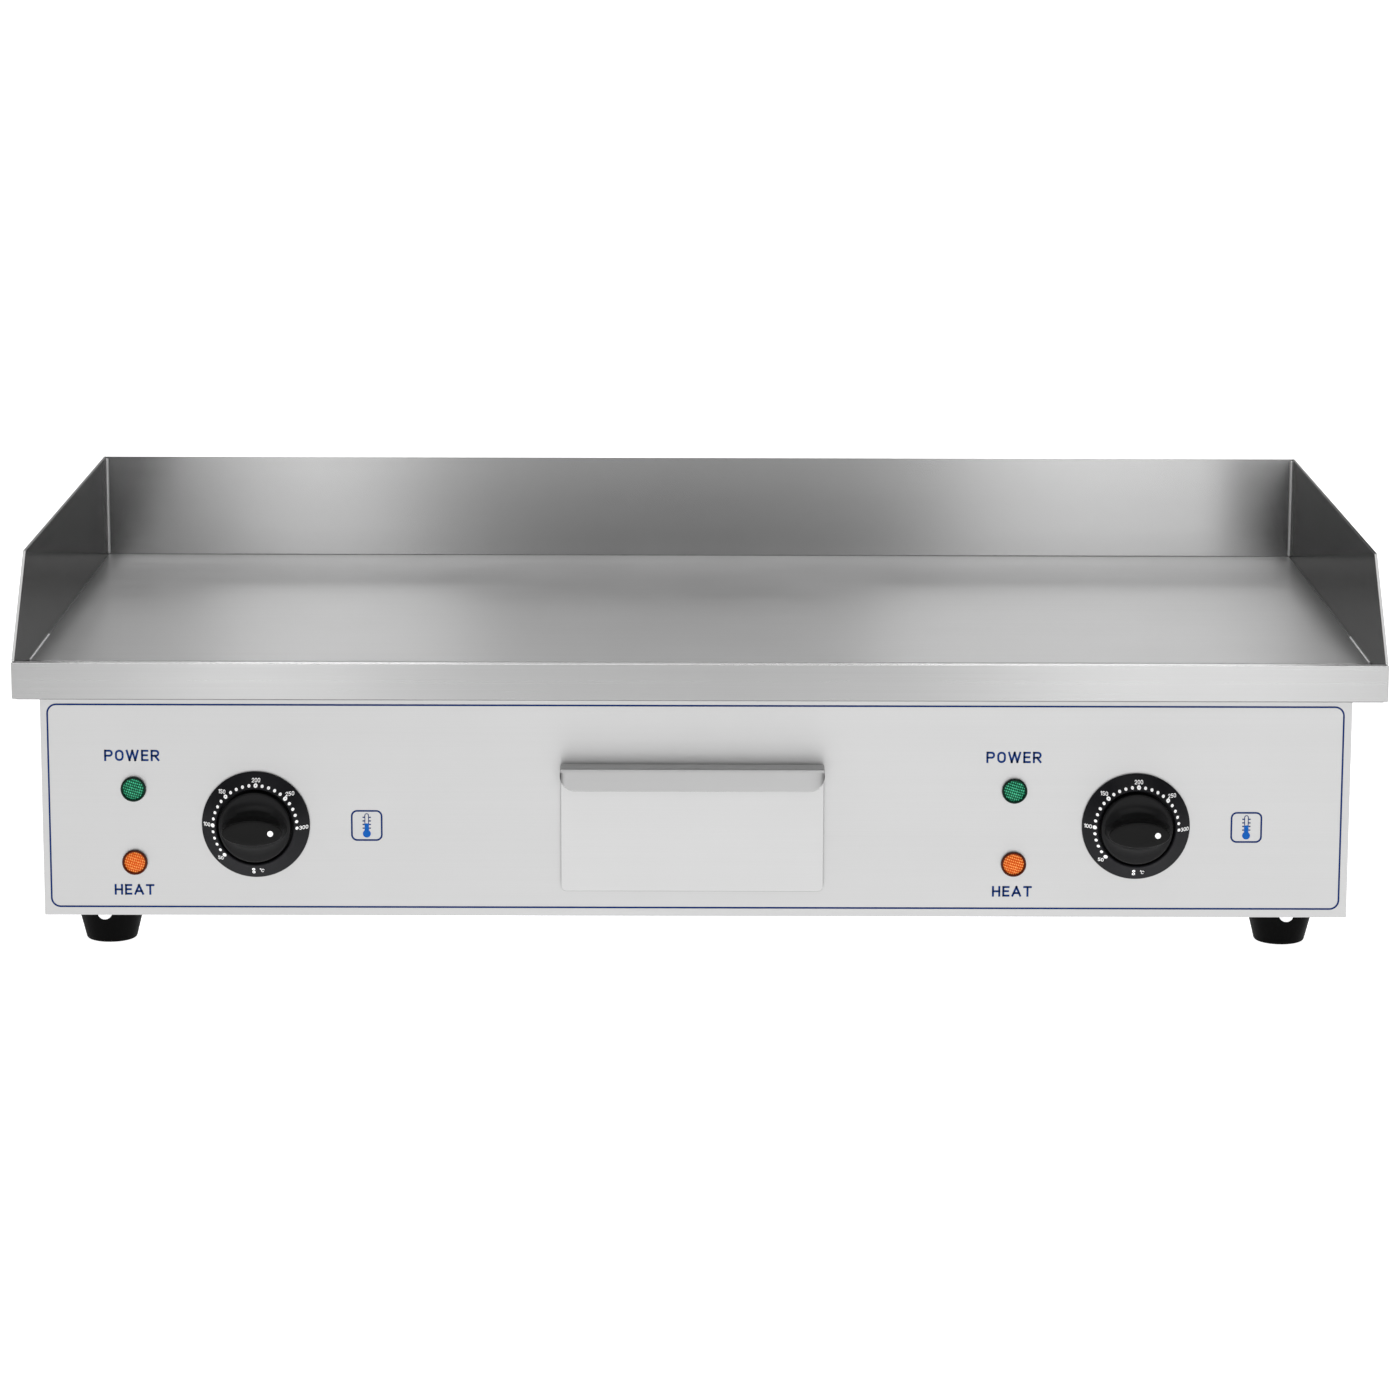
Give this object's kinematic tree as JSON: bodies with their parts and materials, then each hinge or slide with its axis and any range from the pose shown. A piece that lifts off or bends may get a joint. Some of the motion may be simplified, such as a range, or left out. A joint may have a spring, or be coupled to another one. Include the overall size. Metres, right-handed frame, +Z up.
{
  "type": "electric flat top griddle",
  "caption": "Counter-top electric griddle: flat steel plate in a tray with splash guards and a grease trough, above a panel with dial thermostats, pilot lamps and a slide-out grease drawer.",
  "frame": {"origin": "centre of the bounding box in X and Y, on the surface that the feet stand on", "axes": "+X to the right of the person cooking, -Y towards that person (the side with the dials), +Z up"},
  "size_m": [0.73, 0.42, 0.213],
  "materials": {
    "plate_steel": "ground steel, fine lengthwise grain",
    "tray_steel": "brushed stainless sheet",
    "body_steel": "fine satin stainless sheet",
    "base_steel": "plain sheet",
    "drawer_steel": "fine satin stainless sheet",
    "shield_steel": "bright reflective sheet",
    "mineral_wool": "matted mineral fibre",
    "element_sheath": "heat-darkened tube",
    "plain_steel": "plain bar",
    "zinc_fasteners": "zinc plated",
    "bright_screws": "bright nickel plated",
    "thermostat_ceramic": "matt ceramic",
    "copper": "drawn copper tube",
    "bezel_black": "satin black moulding with white dial marks",
    "knob_black": "satin black moulding",
    "lamp_black": "dark moulded housing",
    "lens_green": "translucent, waffle pattern",
    "lens_orange": "translucent, waffle pattern",
    "terminal_plastic": "moulded",
    "gland_plastic": "moulded nylon",
    "wire_insulation": "silicone insulation",
    "foot_rubber": "moulded rubber",
    "brass": "turned brass"
  },
  "bodies": {
    "housing": {"griddle_plate": "plate_steel", "left_splash_guard": "tray_steel", "right_splash_guard": "tray_steel", "back_splash_guard": "tray_steel", "front_trough": "tray_steel", "drain_spout": "tray_steel", "front_panel": "body_steel", "left_side_panel": "body_steel", "right_side_panel": "body_steel", "rear_panel": "body_steel", "base_plate": "base_steel", "heat_shield": "shield_steel", "insulation_blanket": "mineral_wool", "heating_element_left": "element_sheath", "heating_element_right": "element_sheath", "element_clamps_left": "plain_steel", "element_clamps_right": "plain_steel", "plate_studs": "plain_steel", "clamp_nuts": "zinc_fasteners", "shield_nuts": "zinc_fasteners", "thermostat_left": "thermostat_ceramic", "thermostat_right": "thermostat_ceramic", "sensor_bulb_left": "copper", "sensor_bulb_right": "copper", "thermostat_screws": "zinc_fasteners", "dial_bezel_left": "bezel_black", "dial_bezel_right": "bezel_black", "power_lamp_body_left": "lamp_black", "power_lamp_body_right": "lamp_black", "heat_lamp_body_left": "lamp_black", "heat_lamp_body_right": "lamp_black", "power_lens_left": "lens_green", "power_lens_right": "lens_green", "heat_lens_left": "lens_orange", "heat_lens_right": "lens_orange", "lamp_nuts": "zinc_fasteners", "drawer_runner_left": "base_steel", "drawer_runner_right": "base_steel", "terminal_block_left": "terminal_plastic", "terminal_block_right": "terminal_plastic", "cable_gland_left": "gland_plastic", "cable_gland_right": "gland_plastic", "gland_nuts": "gland_plastic", "wiring_left": "wire_insulation", "wiring_right": "wire_insulation", "foot_front_left": "foot_rubber", "foot_front_right": "foot_rubber", "foot_rear_left": "foot_rubber", "foot_rear_right": "foot_rubber", "foot_screws": "zinc_fasteners", "foot_nuts": "zinc_fasteners", "front_flange_screws": "bright_screws", "panel_screws": "zinc_fasteners", "earth_studs": "brass"},
    "left_dial": {"knob_left": "knob_black", "thermostat_shaft_left": "plain_steel"},
    "right_dial": {"knob_right": "knob_black", "thermostat_shaft_right": "plain_steel"},
    "drawer": {"drawer_tray": "drawer_steel", "drawer_front": "drawer_steel"}
  },
  "joints": [
    {"name": "left_knob_turn", "type": "hinge", "parent": "housing", "child": "left_dial", "pos_m": [-0.2384, -0.186, 0.0704], "axis": [0, -1, 0], "range_deg": [0, 270]},
    {"name": "right_knob_turn", "type": "hinge", "parent": "housing", "child": "right_dial", "pos_m": [0.2344, -0.186, 0.0704], "axis": [0, -1, 0], "range_deg": [0, 270]},
    {"name": "drawer_slide", "type": "slide", "parent": "housing", "child": "drawer", "axis": [0, -1, 0], "range_m": [0, 0.2]}
  ]
}
